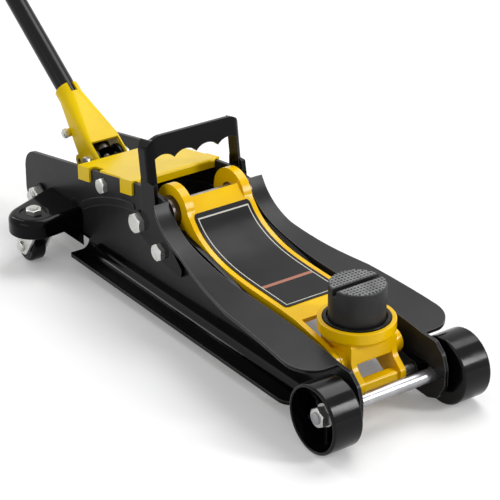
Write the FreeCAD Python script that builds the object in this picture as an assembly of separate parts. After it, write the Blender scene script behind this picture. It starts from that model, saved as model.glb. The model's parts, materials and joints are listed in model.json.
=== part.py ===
# Low-profile hydraulic floor jack, millimetres, +X forward to the saddle, +Y to the jack's left, +Z up.
# The drawing datum is the point on the floor under the front axle. At the end every piece moves
# forward by DATUM_X, so that the row's origin is the middle of the whole jack's footprint.
import FreeCAD, Part
import math
import os

V = FreeCAD.Vector

# Running clearances
FIT = 0.05
SIDE_GAP = 0.5
REST_GAP = 0.3

# Front axle and wheels
WHEEL_R = 36.0
WHEEL_W = 35.0
WHEEL_SPACE = 8.0
RIM_T = 3.6
HUB_R = 12.0
HUB_W = 17.0
AXLE_R = 7.0
AXLE_STUD_R = 6.0
AXLE_NUT_AF = 19.0
AXLE_NUT_T = 10.0
WASHER_T = 2.0
WHEEL_RIBS = 6
RIB_T = 3.0
WHEEL_WEB_T = 5.0

# Side plates
WEB_OUT = 55.0
PLATE_T = 4.0
TAIL_X = -614.0
TAIL_TOP_Z = 95.3
TAIL_TOP_X = -582.0
TOP_SLOPE = 0.185
RAIL_REAR_X = -473.0
RAIL_FRONT_X = -60.0
RAIL_TOP_Z = 17.6
RAIL_OUT = 81.0
RAIL_BEND_R = 10.0
FLANGE_CURVE = (
    (-311, 134), (-297, 115), (-278, 102.5), (-250, 94), (-206, 87), (-150, 84.5), (-70, 81), (-16, 75))
FLANGE_REAR_OUT = 70.0
FLANGE_FRONT_OUT = 97.0
BEAD_W = 9.0
BEAD_H = 1.5
BEAD_R = 283.0
BEAD_TOP = (-335.0, 108.0)
BEAD_TURN = (98.5, 121.0)
TAIL_BASE_Z = 28.0
PEAK = (-341.0, 138.0)
NOSE_BASE_X = -80.0
RAIL_ROOT_Z = 40.0
CLEAR_Z = 160.0

# Lift arm linkage: the arm turns about PIVOT, carries the saddle bracket at TIP, and the levelling
# rods keep the bracket upright, since they make a parallelogram with the arm.
PIVOT = (-318.5, 118.0)
TIP = (-46.0, 58.0)
ROD_OFFSET = (25.0, -21.5)
ARM_OUT = 42.0
ARM_SIDE_T = 6.0
EAR_T = 10.0
EAR_R = 29.5
ARM_TOP_T = 5.0
ARM_CURVE = (
    (-301, 138), (-290, 125), (-275, 109), (-255, 97.5), (-230, 90), (-190, 85.5), (-145, 84), (-98, 81.5))
SHAFT_R = 11.0
BUSH_WALL = 3.0
SPACER_R = 18.0
TIP_PIN_R = 7.0
TIP_R = 12.5
ROD_T = 5.0
ROD_H = 15.0
ROD_EYE_R = 8.5
ROD_PIN_R = 5.0
ROD_IN = 43.5
ROD_PLAY = 0.25
SLOT_END_GAP = 2.0
LEVER_WALL = 6.0
PIN_END = 49.5
RING_GAP = 2.5
BOSS_R = 13.0
LABEL_GAP = 0.15
LABEL_T = 0.6
LABEL_HALF = 36.0
LABEL_X = (-288.0, -124.0)

# Hydraulic unit: the ram pushes the pin in the slotted levers under the arm's pivot.
UNIT_Z = 69.0
LIFT_ANGLE = 60.0
RAM_PIN_R = 7.0
SLOT_PLAY = 1.2
RAM_R = 13.0
CYLINDER_R = 19.0
RESERVOIR_R = 31.0
RESERVOIR_T = 2.5
RESERVOIR_X = (-478.0, -374.0)
HEAD_NUT_T = 9.0
BLOCK_REAR_X = -566.0
BLOCK_HALF = 30.0
BLOCK_BASE_Z = 34.0
BLOCK_TOP_Z = 88.0
BLOCK_BACK = 14.0
HEAD_NUT_R = 26.0
TRUNNION = (-500.0, 60.0)
TRUNNION_R = 8.0
FILLER_X = -450.0
FILLER_R = 4.0
SPRING_X = -455.0
SPRING_Y = 46.0
SPRING_COIL_R = 2.4
SPRING_WIRE_R = 1.0
SPRING_STUD_R = 3.0

# Saddle
SADDLE_X = -56.0
CUP_OUT_R = 39.5
CUP_IN_R = 34.6
CUP_TOP_Z = 93.0
CUP_FLOOR_Z = 86.0
CUP_BASE_Z = 78.0
HUB_BASE_Z = 70.0
PAD_R = 29.0
PAD_H = 38.0
SADDLE_T = 8.5
STEM_R = 10.0
PAD_SLOT_W = 6.0
PAD_SLOT_D = 7.0
CHEEK_OUT = 28.5
CHEEK_T = 6.5
BAR_FACE_X = -28.0
STEM_LEN = 18.0

# Top cover and carry handle
COVER_T = 2.5
COVER_X = (-487.0, -372.0)
COVER_LIP = 8.0
COVER_NOTCH = 49.0
COVER_NOTCH_W = 20.0
TAB_W = 24.0
TAB_GAP = 2.0
TAB_DROP = 15.0
GRIP_TOP_Z = 199.5
GRIP_CUSP_Z = 172.0
GRIP_SCALLOP_RISE = 6.0
GRIP_SCALLOP_W = 28.0
GRIP_POST_W = 7.5
GRIP_FLANGE = 21.0
GRIP_CORNER_R = 16.0
GRIP_FACE_X = -333.0
GRIP_LEAN = 8.0
GRIP_T = 5.0
GRIP_LEG_Z = 140.0
FOOT_BOLTS = ((-357.5, 94.6, 21.0), (-316.4, 75.7, 18.0))
FOOT_LOBES = (13.0, 11.0)
FOOT_BOLT_R = 5.0

# Handle, its socket and the pump
SOCKET = (-520.0, 97.0)
HANDLE_ANGLE = 35.0
TUBE_R = 11.5
TUBE_T = 1.6
COLLAR_R = 14.5
COLLAR_END = 103.0
CHEEK_HALF = 22.0
SOCKET_T = 3.5
LOWER_TUBE_END = 560.0
HANDLE_END = 1080.0
GRIP_R = 15.5
GRIP_LEN = 125.0
RETAINER = (52.0, -12.0)
RETAINER_AF = 10.0
TUBE_START = 72.0
SOCKET_HALF_N = 18.0
SOCKET_NOSE = 14.0
CHANNEL_S = (22.0, 90.0)
CHANNEL_CORNER = 6.0
WINDOW_S = 15.0
UNDER_S = 34.0
SOCKET_BOLT_R = 5.0
SOCKET_BOLT_AF = 15.0
SPIGOT = 60.0
BUTTON_S = 530.0
BUTTON_R = 3.5
GRIP_RINGS = 8
GRIP_END_R = 5.0
GRIP_CAP_T = 6.0
BALL_R = 7.0
SPINDLE_R = 4.0
SPINDLE_BOSS_R = 10.0
EAR_OUT = 17.5
EAR_PIVOT_R = 14.0
CHEEK_SWING_R = 24.5
ROLLER_OFFSET = (-24.0, -6.0)
ROLLER_R = 7.0
PLUNGER_R = 6.5
CAP_R = 12.0
CAP_T = 4.0
ROLLER_HALF = 12.0
ROLLER_PIN_R = 3.0
ROLLER_LOBE_R = 7.5
PUMP_TOP_Z = 58.0

# Casters
SWIVEL = (-508.0, 105.0)
CASTER_TRAIL = 9.0
CASTER_R = 19.5
CASTER_W = 18.0
CASTER_AXLE_R = 4.0
CASTER_HEAD_R = 6.5
FORK_TOP_Z = 46.0
FORK_T = 3.0
FORK_GAP = 1.0
RACE_R = 13.0
BRACKET_TOP_Z = 62.0
BRACKET_T = 4.0
BRACKET_R = 29.0
BRACKET_X = (-562.0, -484.0)
BRACKET_EDGE_R = 8.0
SKIRT_Z = 40.5
SKIRT_ROOT_Z = 14.0
RECESS_R = 16.0
RECESS_D = 1.5
STUD_R = 5.0
STUD_HEAD_R = 8.0
STUD_HEAD_T = 2.6
STUD_NUT_AF = 17.0
STUD_NUT_T = 6.0

# Rear tie rod and the cross rod that ties the plates over the unit
TIE = (-577.0, 46.0)
TIE_R = 7.0
TIE_STUD_R = 6.0
TIE_END = 72.0
TIE_NUT_AF = 19.0
CROSS_ROD = (-436.7, 107.6)
CROSS_ROD_R = 6.0
CROSS_STUD_R = 5.0
CROSS_HEAD_AF = 16.0
CROSS_HEAD_T = 6.0

# Values that follow from the ones above
WEB_IN = WEB_OUT - PLATE_T
GRIP_HALF = WEB_OUT + GRIP_T
GRIP_OPEN_HALF = GRIP_HALF - GRIP_POST_W
WHEEL_IN = WEB_OUT + WHEEL_SPACE
TRACK_OUT = WHEEL_IN + WHEEL_W
ROD_LINK = (PIVOT[0] + ROD_OFFSET[0], PIVOT[1] + ROD_OFFSET[1])
ROD_FRONT = (TIP[0] + ROD_OFFSET[0], TIP[1] + ROD_OFFSET[1])
LEVER_H = PIVOT[1] - UNIT_Z
PIN_SWING = LEVER_H * math.tan(math.radians(LIFT_ANGLE / 2))
RAM_PIN_X = PIVOT[0] - PIN_SWING
ROLLER = (SOCKET[0] + ROLLER_OFFSET[0], SOCKET[1] + ROLLER_OFFSET[1])
TILT = math.radians(HANDLE_ANGLE)
ROLLER_LOCAL = (
    -ROLLER_OFFSET[0] * math.cos(TILT) + ROLLER_OFFSET[1] * math.sin(TILT),
    ROLLER_OFFSET[0] * math.sin(TILT) + ROLLER_OFFSET[1] * math.cos(TILT))
CORNER_X = -(HANDLE_END - GRIP_END_R) * math.cos(TILT) - (GRIP_R - GRIP_END_R) * math.sin(TILT)
HANDLE_BACK_X = SOCKET[0] + CORNER_X - GRIP_END_R
DATUM_X = -(WHEEL_R + HANDLE_BACK_X) / 2


# Basic forms

def box(x0, x1, y0, y1, z0, z1):
    return Part.makeBox(x1 - x0, y1 - y0, z1 - z0, V(x0, y0, z0))


def cyl(centre, radius, direction, length):
    return Part.makeCylinder(radius, length, centre, direction)


def cyl_y(x, z, radius, y0, y1):
    return cyl(V(x, y0, z), radius, V(0, 1, 0), y1 - y0)


def cyl_x(y, z, radius, x0, x1):
    return cyl(V(x0, y, z), radius, V(1, 0, 0), x1 - x0)


def cyl_z(x, y, radius, z0, z1):
    return cyl(V(x, y, z0), radius, V(0, 0, 1), z1 - z0)


def mirrored(shape):
    return shape.mirror(V(0, 0, 0), V(0, 1, 0))


def both_sides(shape):
    return Part.makeCompound([shape, mirrored(shape)])


def rounded_wire(points, place):
    # Closed outline from (u, v, corner radius), with a tangent arc at each corner that has a radius.
    count = len(points)
    starts = []
    ends = []
    mids = []
    for i in range(count):
        u, v, radius = points[i]
        here = place(u, v)
        before = place(points[i - 1][0], points[i - 1][1]) - here
        after = place(points[(i + 1) % count][0], points[(i + 1) % count][1]) - here
        before.normalize()
        after.normalize()
        if radius == 0:
            starts.append(here)
            ends.append(here)
            mids.append(None)
            continue
        half = before.getAngle(after) / 2
        reach = radius / math.tan(half)
        bisector = before + after
        bisector.normalize()
        starts.append(here + before * reach)
        ends.append(here + after * reach)
        mids.append(here + bisector * (radius / math.sin(half) - radius))
    edges = []
    for i in range(count):
        if mids[i] is not None:
            edges.append(Part.Arc(starts[i], mids[i], ends[i]).toShape())
        nxt = (i + 1) % count
        if (starts[nxt] - ends[i]).Length > 1e-6:
            edges.append(Part.LineSegment(ends[i], starts[nxt]).toShape())
    return Part.Wire(edges)


def side_prism(points, y0, y1):
    wire = rounded_wire(points, lambda u, v: V(u, y0, v))
    return Part.Face(wire).extrude(V(0, y1 - y0, 0))


def plan_prism(points, z0, z1):
    wire = rounded_wire(points, lambda u, v: V(u, v, z0))
    return Part.Face(wire).extrude(V(0, 0, z1 - z0))


def cross_prism(points, x0, x1):
    wire = rounded_wire(points, lambda u, v: V(x0, u, v))
    return Part.Face(wire).extrude(V(x1 - x0, 0, 0))


def spline(points):
    curve = Part.BSplineCurve()
    curve.interpolate(points)
    return curve


def offset_points(points, distance):
    # The same curve moved square to itself, to its lower side.
    curve = spline([V(x, 0, z) for x, z in points])
    moved = []
    for x, z in points:
        at = curve.parameter(V(x, 0, z))
        along = curve.tangent(at)[0]
        moved.append((x + along.z * distance, z - along.x * distance))
    return moved


def curved_strip(points, thickness, y0, y1):
    top = [V(x, y0, z) for x, z in points]
    bottom = [V(x, y0, z) for x, z in offset_points(points, thickness)]
    upper = spline(top).toShape()
    lower = spline(bottom).toShape()
    ends = [Part.LineSegment(top[0], bottom[0]).toShape(), Part.LineSegment(top[-1], bottom[-1]).toShape()]
    wire = Part.Wire(Part.__sortEdges__([upper, ends[1], lower, ends[0]]))
    return Part.Face(wire).extrude(V(0, y1 - y0, 0))


def above_curve(points, height, y0, y1):
    top = [V(x, y0, z) for x, z in points]
    first_up = V(top[0].x, y0, height)
    last_up = V(top[-1].x, y0, height)
    edges = [spline(top).toShape()]
    edges.append(Part.LineSegment(top[-1], last_up).toShape())
    edges.append(Part.LineSegment(last_up, first_up).toShape())
    edges.append(Part.LineSegment(first_up, top[0]).toShape())
    return Part.Face(Part.Wire(edges)).extrude(V(0, y1 - y0, 0))


def hexagon(centre, direction, across_flats, thickness):
    radius = across_flats / math.sqrt(3)
    points = []
    for i in range(7):
        turn = math.radians(60 * i + 30)
        points.append(V(radius * math.cos(turn), radius * math.sin(turn), 0))
    prism = Part.Face(Part.makePolygon(points)).extrude(V(0, 0, thickness))
    chamfer = Part.makeCone(across_flats / 2 + thickness * 1.5, across_flats / 2 * 0.94, thickness)
    prism = prism.common(chamfer)
    prism.Placement = FreeCAD.Placement(centre, FreeCAD.Rotation(V(0, 0, 1), direction))
    return prism


def nut(centre, direction, across_flats, thickness, bore_r):
    return hexagon(centre, direction, across_flats, thickness).cut(cyl(centre, bore_r, direction, thickness))


def washer(centre, direction, outer_r, bore_r, thickness):
    return cyl(centre, outer_r, direction, thickness).cut(cyl(centre, bore_r, direction, thickness))


def ribbed_coil(centre, direction, coil_r, wire_r, turns, length):
    # A closely wound spring: a tube whose outside is a row of round coils.
    pitch = length / turns
    edges = []
    inner = coil_r - wire_r
    for i in range(turns):
        start = V(coil_r, 0, pitch * i)
        middle = V(coil_r + wire_r, 0, pitch * (i + 0.5))
        end = V(coil_r, 0, pitch * (i + 1))
        edges.append(Part.Arc(start, middle, end).toShape())
    edges.append(Part.LineSegment(V(coil_r, 0, length), V(inner, 0, length)).toShape())
    edges.append(Part.LineSegment(V(inner, 0, length), V(inner, 0, 0)).toShape())
    edges.append(Part.LineSegment(V(inner, 0, 0), V(coil_r, 0, 0)).toShape())
    coil = Part.Face(Part.Wire(edges)).revolve(V(0, 0, 0), V(0, 0, 1), 360)
    coil.Placement = FreeCAD.Placement(centre, FreeCAD.Rotation(V(0, 0, 1), direction))
    return coil


def turned_y(profile, x, z):
    # Turned about an axis along Y; profile points are (radius, y, corner radius).
    wire = rounded_wire(profile, lambda r, y: V(x + r, y, z))
    return Part.Face(wire).revolve(V(x, 0, z), V(0, 1, 0), 360)


def turned_z(profile, x, y):
    # Turned about an upright axis; profile points are (radius, z, corner radius).
    wire = rounded_wire(profile, lambda r, z: V(x + r, y, z))
    return Part.Face(wire).revolve(V(x, y, 0), V(0, 0, 1), 360)


def top_z(x):
    # Height of the side plates' sloping top edge.
    return TAIL_TOP_Z + TOP_SLOPE * (x - TAIL_TOP_X)


# Side plates

def side_plate():
    # The left plate; the right one is its mirror image.
    first_x, first_z = FLANGE_CURVE[0]
    end_x, end_z = FLANGE_CURVE[-1]
    outline = [
        (TAIL_X, TAIL_BASE_Z, 14), (TAIL_X, top_z(TAIL_X), 26), (COVER_X[1], top_z(COVER_X[1]), 40),
        (PEAK[0], PEAK[1], 10), (first_x, first_z, 0), (first_x, CLEAR_Z, 0), (end_x, CLEAR_Z, 0),
        (end_x, end_z, 0), (3, end_z - 0.5, 8), (15, 64, 10), (20, 50, 12), (20, 30, 12), (10, 13, 10),
        (-4, 8, 6), (NOSE_BASE_X, 12, 10), (NOSE_BASE_X - 15, TAIL_BASE_Z, 10)]
    web = side_prism(outline, WEB_IN, WEB_OUT)
    web = web.cut(above_curve(FLANGE_CURVE, CLEAR_Z, WEB_IN, WEB_OUT))
    flange = curved_strip(FLANGE_CURVE, PLATE_T, WEB_IN, FLANGE_FRONT_OUT)
    flange = flange.common(plan_prism([
        (first_x - 9, WEB_IN, 0), (first_x - 9, FLANGE_REAR_OUT, 12), (-260, FLANGE_REAR_OUT + 2, 60),
        (-150, 91, 60), (-50, FLANGE_FRONT_OUT, 40), (end_x, FLANGE_FRONT_OUT, 30), (end_x, WEB_IN, 0)],
        0, CLEAR_Z))
    rail_base = RAIL_TOP_Z - PLATE_T
    rail = cross_prism([
        (WEB_OUT, RAIL_ROOT_Z, 0), (WEB_OUT, RAIL_TOP_Z, RAIL_BEND_R), (RAIL_OUT, RAIL_TOP_Z, 0),
        (RAIL_OUT, rail_base, 0), (WEB_IN, rail_base, RAIL_BEND_R + PLATE_T), (WEB_IN, RAIL_ROOT_Z, 0)],
        RAIL_REAR_X, RAIL_FRONT_X)
    rail = rail.common(plan_prism([
        (RAIL_REAR_X, WEB_IN, 0), (RAIL_REAR_X, RAIL_OUT, 4), (RAIL_FRONT_X, RAIL_OUT, 16),
        (RAIL_FRONT_X, WEB_IN, 0)], 0, CLEAR_Z))
    plate = web.fuse([flange, rail, bead(WEB_OUT, BEAD_H, BEAD_W)])
    plate = plate.cut(bead(WEB_IN, BEAD_H, BEAD_W - 2 * BEAD_H))
    for x, z, radius in plate_holes():
        plate = plate.cut(cyl_y(x, z, radius + FIT, WEB_IN - 1, WEB_OUT + 1))
    return plate.removeSplitter()


def bead(y0, height, width):
    # The pressed stiffening bead, bent along an arc.
    outer = BEAD_R + width / 2
    inner = BEAD_R - width / 2
    first, last = BEAD_TURN
    middle = (first + last) / 2
    overrun = math.degrees(width / 2 / BEAD_R)

    def at(radius, degrees):
        turn = math.radians(degrees)
        return V(BEAD_TOP[0] + radius * math.cos(turn), y0, BEAD_TOP[1] - BEAD_R + radius * math.sin(turn))

    arcs = [
        Part.Arc(at(outer, first), at(outer, middle), at(outer, last)),
        Part.Arc(at(outer, last), at(BEAD_R, last + overrun), at(inner, last)),
        Part.Arc(at(inner, last), at(inner, middle), at(inner, first)),
        Part.Arc(at(inner, first), at(BEAD_R, first - overrun), at(outer, first))]
    outline = Part.Wire([arc.toShape() for arc in arcs])
    return Part.Face(outline).extrude(V(0, height, 0))


def plate_holes():
    # Side view place and radius of each bar or bolt that goes through a side plate.
    holes = [
        (0, WHEEL_R, AXLE_R), (PIVOT[0], PIVOT[1], SHAFT_R), (TIE[0], TIE[1], TIE_STUD_R),
        (CROSS_ROD[0], CROSS_ROD[1], CROSS_STUD_R), (TRUNNION[0], TRUNNION[1], TRUNNION_R)]
    for x, z, across in FOOT_BOLTS:
        holes.append((x, z, FOOT_BOLT_R))
    return holes


# Front axle and wheels

def front_axle():
    spacer_end = WHEEL_IN + HUB_W + SIDE_GAP / 2
    bar = cyl_y(0, WHEEL_R, AXLE_R, -spacer_end, spacer_end)
    stud_end = spacer_end + WASHER_T + AXLE_NUT_T + 2
    return bar.fuse(cyl_y(0, WHEEL_R, AXLE_STUD_R, -stud_end, stud_end))


def axle_spacer():
    length = WHEEL_IN - SIDE_GAP / 2 - WEB_OUT
    return washer(V(0, WEB_OUT, WHEEL_R), V(0, 1, 0), HUB_R, AXLE_R + FIT, length)


def axle_washer():
    start = WHEEL_IN + HUB_W + SIDE_GAP / 2
    return washer(V(0, start, WHEEL_R), V(0, 1, 0), HUB_R, AXLE_STUD_R + FIT, WASHER_T)


def axle_nut():
    start = WHEEL_IN + HUB_W + SIDE_GAP / 2 + WASHER_T
    return nut(V(0, start, WHEEL_R), V(0, 1, 0), AXLE_NUT_AF, AXLE_NUT_T, AXLE_STUD_R + FIT)


def front_wheel():
    # The left wheel: a cast drum, open outward, with a hub and radial ribs.
    out = TRACK_OUT
    floor_y = WHEEL_IN + WHEEL_WEB_T
    inside = WHEEL_R - RIM_T
    wheel = turned_y([
        (AXLE_R + FIT, WHEEL_IN, 0), (WHEEL_R, WHEEL_IN, 2.5), (WHEEL_R, out, 2.5), (inside, out, 1),
        (inside - 1.5, floor_y, 4), (HUB_R, floor_y, 4), (HUB_R, WHEEL_IN + HUB_W, 1),
        (AXLE_R + FIT, WHEEL_IN + HUB_W, 0)], 0, WHEEL_R)
    rib = side_prism([
        (HUB_R - 1, WHEEL_R - RIB_T / 2, 0), (inside, WHEEL_R - RIB_T / 2, 0),
        (inside, WHEEL_R + RIB_T / 2, 0), (HUB_R - 1, WHEEL_R + RIB_T / 2, 0)], floor_y - 1, WHEEL_IN + HUB_W)
    for i in range(WHEEL_RIBS):
        turned = rib.copy()
        turned.rotate(V(0, 0, WHEEL_R), V(0, 1, 0), 360 / WHEEL_RIBS * (i + 0.5))
        wheel = wheel.fuse(turned)
    return wheel.removeSplitter()


# Carry handle

def carry_handle():
    face = GRIP_FACE_X
    rear = face - GRIP_FLANGE
    inner = GRIP_HALF - GRIP_T
    panel = plan_prism([
        (rear, -GRIP_HALF, 0), (face, -GRIP_HALF, 10), (face, GRIP_HALF, 10), (rear, GRIP_HALF, 0),
        (rear, inner, 0), (face - GRIP_T, inner, 5), (face - GRIP_T, -inner, 5), (rear, -inner, 0)],
        GRIP_LEG_Z, GRIP_TOP_Z)
    panel = panel.common(cross_prism([
        (-GRIP_HALF, GRIP_LEG_Z, 0), (-GRIP_HALF, GRIP_TOP_Z, GRIP_CORNER_R),
        (GRIP_HALF, GRIP_TOP_Z, GRIP_CORNER_R), (GRIP_HALF, GRIP_LEG_Z, 0)], rear, face))
    panel = panel.cut(grip_opening())
    panel.rotate(V(face, 0, GRIP_CUSP_Z), V(0, 1, 0), -GRIP_LEAN)
    handle = panel.fuse([carry_foot(), mirrored(carry_foot())])
    for x, z, across in FOOT_BOLTS:
        handle = handle.cut(cyl_y(x, z, FOOT_BOLT_R + FIT, -GRIP_HALF - 1, GRIP_HALF + 1))
    return handle.removeSplitter()


def grip_opening():
    # The hand opening, with a row of finger scallops along its top.
    half = GRIP_OPEN_HALF
    start = GRIP_FACE_X - GRIP_FLANGE - 10
    end = GRIP_FACE_X + 5
    opening = box(start, end, -half, half, GRIP_LEG_Z - 5, GRIP_CUSP_Z)
    pitch = GRIP_SCALLOP_W
    rise = GRIP_SCALLOP_RISE
    radius = (pitch * pitch / 4 + rise * rise) / (2 * rise)
    for i in range(4):
        y = (i - 1.5) * pitch
        opening = opening.fuse(cyl_x(y, GRIP_CUSP_Z + rise - radius, radius, start, end))
    return opening.common(box(start, end, -half, half, GRIP_LEG_Z - 5, GRIP_TOP_Z))


def carry_foot():
    # The left foot, outside the side plate, with a round lobe at each bolt.
    (ax, az, _), (bx, bz, _) = FOOT_BOLTS
    y0 = GRIP_HALF - GRIP_T
    blade = side_prism([
        (-351.5, GRIP_LEG_Z + 8, 0), (-352, az + 10, 8), (ax - 9, az - 9.4, 0), (bx - 4, bz - 10.2, 0),
        (-277, 59, 4), (-276, 70, 4), (-300, 92, 20), (-312, 105, 20), (-324, 126, 20),
        (-328, GRIP_LEG_Z + 8, 0)], y0, GRIP_HALF)
    lobes = [cyl_y(ax, az, FOOT_LOBES[0], y0, GRIP_HALF), cyl_y(bx, bz, FOOT_LOBES[1], y0, GRIP_HALF)]
    return blade.fuse(lobes)


def foot_bolts():
    # Hex bolts screwed into the side plates.
    bolts = []
    for x, z, across in FOOT_BOLTS:
        head = hexagon(V(x, GRIP_HALF, z), V(0, 1, 0), across, across * 0.33)
        bolts.append(head.fuse(cyl_y(x, z, FOOT_BOLT_R, WEB_IN, GRIP_HALF)))
    return both_sides(Part.makeCompound(bolts))


# Top cover over the hydraulic unit

def top_cover():
    rear, front = COVER_X
    z_rear = top_z(rear)
    z_front = top_z(front)
    wide = WEB_OUT + COVER_T
    sheet = side_prism([
        (rear, z_rear, 0), (rear, z_rear + COVER_T, 0), (front, z_front + COVER_T, 3),
        (front, z_front - COVER_LIP, 0), (front - COVER_T, z_front - COVER_LIP, 0),
        (front - COVER_T, z_front, 0.5)], -wide, wide)
    notch = COVER_NOTCH
    plan = plan_prism([
        (rear, 0, 0), (rear, wide, 1), (rear + TAB_W, wide, 1), (rear + TAB_W, notch, 2),
        (rear + TAB_W + COVER_NOTCH_W, notch, 2), (rear + TAB_W + COVER_NOTCH_W, WEB_OUT, 0),
        (front - TAB_GAP - TAB_W, WEB_OUT, 0), (front - TAB_GAP - TAB_W, wide, 1),
        (front - TAB_GAP, wide, 1), (front - TAB_GAP, WEB_OUT - 2, 1), (front, WEB_OUT - 5, 3),
        (front, 0, 0)], 0, CLEAR_Z)
    half = sheet.common(plan)
    half = half.cut(box(front - COVER_T - 1, front + 1, WEB_IN - SIDE_GAP, WEB_OUT, 0, z_front))
    half = half.fuse([cover_tab(rear, rear + TAB_W), cover_tab(front - TAB_GAP - TAB_W, front - TAB_GAP)])
    return half.fuse(mirrored(half)).removeSplitter()


def cover_tab(x0, x1):
    # A tab folded down over the outside of the side plate.
    low0 = top_z(x0) - TAB_DROP
    low1 = top_z(x1) - TAB_DROP
    return side_prism([
        (x0, low0, 1), (x0, top_z(x0) + COVER_T, 0), (x1, top_z(x1) + COVER_T, 0), (x1, low1, 1)],
        WEB_OUT, WEB_OUT + COVER_T)


# Rods that tie the plates together

def tied_rod(x, z, radius, stud_r, stud_end):
    bar = cyl_y(x, z, radius, -WEB_IN, WEB_IN)
    return bar.fuse(cyl_y(x, z, stud_r, -stud_end, stud_end))


def rod_washer(x, z, radius, stud_r, thickness):
    return washer(V(x, WEB_OUT, z), V(0, 1, 0), radius, stud_r + FIT, thickness)


def rod_nut(x, z, across, thickness, stud_r, start):
    return nut(V(x, start, z), V(0, 1, 0), across, thickness, stud_r + FIT)


def cross_rod():
    rod = tied_rod(CROSS_ROD[0], CROSS_ROD[1], CROSS_ROD_R, CROSS_STUD_R, WEB_OUT)
    head = hexagon(V(CROSS_ROD[0], WEB_OUT, CROSS_ROD[1]), V(0, 1, 0), CROSS_HEAD_AF, CROSS_HEAD_T)
    return rod.fuse([head, mirrored(head)])


# Casters

def bracket_plan(radius, rear_x, front_x, z0, z1):
    # A round end about the swivel, joined to the side plate by two tangent edges.
    x, y = SWIVEL
    corners = []
    for base_x, side in ((rear_x, 1), (front_x, -1)):
        dx = x - base_x
        dy = y - WEB_OUT
        aim = math.atan2(dy, dx) + side * math.asin(radius / math.hypot(dx, dy))
        reach = (y + radius - WEB_OUT) / math.sin(aim)
        corners.append(base_x + reach * math.cos(aim))
    return plan_prism([
        (rear_x, WEB_OUT, 0), (corners[0], y + radius, radius), (corners[1], y + radius, radius),
        (front_x, WEB_OUT, 0)], z0, z1)


def caster_bracket():
    # The left bracket: a pressed shell with a rounded rim, open below, welded to the side plate.
    rear, front = BRACKET_X
    x, y = SWIVEL
    outer = bracket_plan(BRACKET_R, rear, front, SKIRT_ROOT_Z, BRACKET_TOP_Z)
    rim = [edge for edge in outer.Edges if edge.BoundBox.ZMin > BRACKET_TOP_Z - 1 and edge.BoundBox.YMax > y]
    outer = outer.makeFillet(BRACKET_EDGE_R, rim)
    inner = bracket_plan(
        BRACKET_R - BRACKET_T, rear + BRACKET_T * 1.3, front - BRACKET_T * 1.1, 0, BRACKET_TOP_Z - BRACKET_T)
    shell = outer.cut(inner)
    end_y = y + BRACKET_R + 1
    shell = shell.cut(cross_prism([
        (WEB_OUT - 1, 0, 0), (WEB_OUT - 1, SKIRT_ROOT_Z, 0), (y - 23, SKIRT_Z, 0), (end_y, SKIRT_Z, 0),
        (end_y, 0, 0)], rear - 1, x + BRACKET_R + 10))
    shell = shell.cut(cyl_z(x, y, RECESS_R, BRACKET_TOP_Z - RECESS_D, CLEAR_Z))
    return shell.cut(cyl_z(x, y, STUD_R + FIT, 0, CLEAR_Z)).removeSplitter()


def caster_stud():
    x, y = SWIVEL
    seat = BRACKET_TOP_Z - RECESS_D
    head_top = FORK_TOP_Z - FORK_T - 0.1
    stud = cyl_z(x, y, STUD_R, head_top - STUD_HEAD_T, seat + STUD_NUT_T + 2)
    return stud.fuse(cyl_z(x, y, STUD_HEAD_R, head_top - STUD_HEAD_T, head_top))


def caster_nut():
    x, y = SWIVEL
    return nut(V(x, y, BRACKET_TOP_Z - RECESS_D), V(0, 0, 1), STUD_NUT_AF, STUD_NUT_T, STUD_R + FIT)


def caster_fork():
    # A pressed yoke with the swivel's ball race on top; the wheel trails behind the swivel.
    x, y = SWIVEL
    axle_x = x - CASTER_TRAIL
    low = FORK_TOP_Z - FORK_T
    outer = CASTER_W / 2 + FORK_GAP + FORK_T
    leg = side_prism([
        (x - 18, FORK_TOP_Z, 2), (x + 18, FORK_TOP_Z, 2), (x + 18, FORK_TOP_Z - 9, 5),
        (axle_x + 8, CASTER_R - 9, 8), (x - 19, CASTER_R - 10, 9)], y + outer - FORK_T, y + outer)
    plate = box(x - 18, x + 18, y - outer, y + outer, low, FORK_TOP_Z)
    plate = plate.common(cyl_z(x, y, 22.5, low, FORK_TOP_Z))
    race = cyl_z(x, y, RACE_R, FORK_TOP_Z, BRACKET_TOP_Z - BRACKET_T - REST_GAP)
    other = leg.copy()
    other.translate(V(0, -2 * outer + FORK_T, 0))
    fork = plate.fuse([leg, other, race])
    fork = fork.cut(cyl_z(x, y, STUD_R + FIT, 0, CLEAR_Z))
    return fork.cut(cyl_y(axle_x, CASTER_R, CASTER_AXLE_R + FIT, y - outer - 1, y + outer + 1))


def caster_axle():
    x = SWIVEL[0] - CASTER_TRAIL
    y = SWIVEL[1]
    outer = CASTER_W / 2 + FORK_GAP + FORK_T
    axle = cyl_y(x, CASTER_R, CASTER_AXLE_R, y - outer, y + outer)
    head = turned_y([(0, 0, 0), (CASTER_HEAD_R, 0, 0), (CASTER_HEAD_R - 0.5, 3.5, 2), (0, 4, 0)], x, CASTER_R)
    near = mirrored(head)
    head.translate(V(0, y + outer, 0))
    near.translate(V(0, y - outer, 0))
    return axle.fuse([head, near])


def caster_wheel():
    x = SWIVEL[0] - CASTER_TRAIL
    y = SWIVEL[1]
    half = CASTER_W / 2
    return turned_y([
        (CASTER_AXLE_R + FIT, y - half, 0), (8, y - half, 0), (9.5, y - half + 2, 1),
        (14, y - half + 2, 1), (15.5, y - half, 1), (CASTER_R, y - half, 3.5), (CASTER_R, y + half, 3.5),
        (15.5, y + half, 1), (14, y + half - 2, 1), (9.5, y + half - 2, 1), (8, y + half, 0),
        (CASTER_AXLE_R + FIT, y + half, 0)], x, CASTER_R)


# Lift arm

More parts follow.
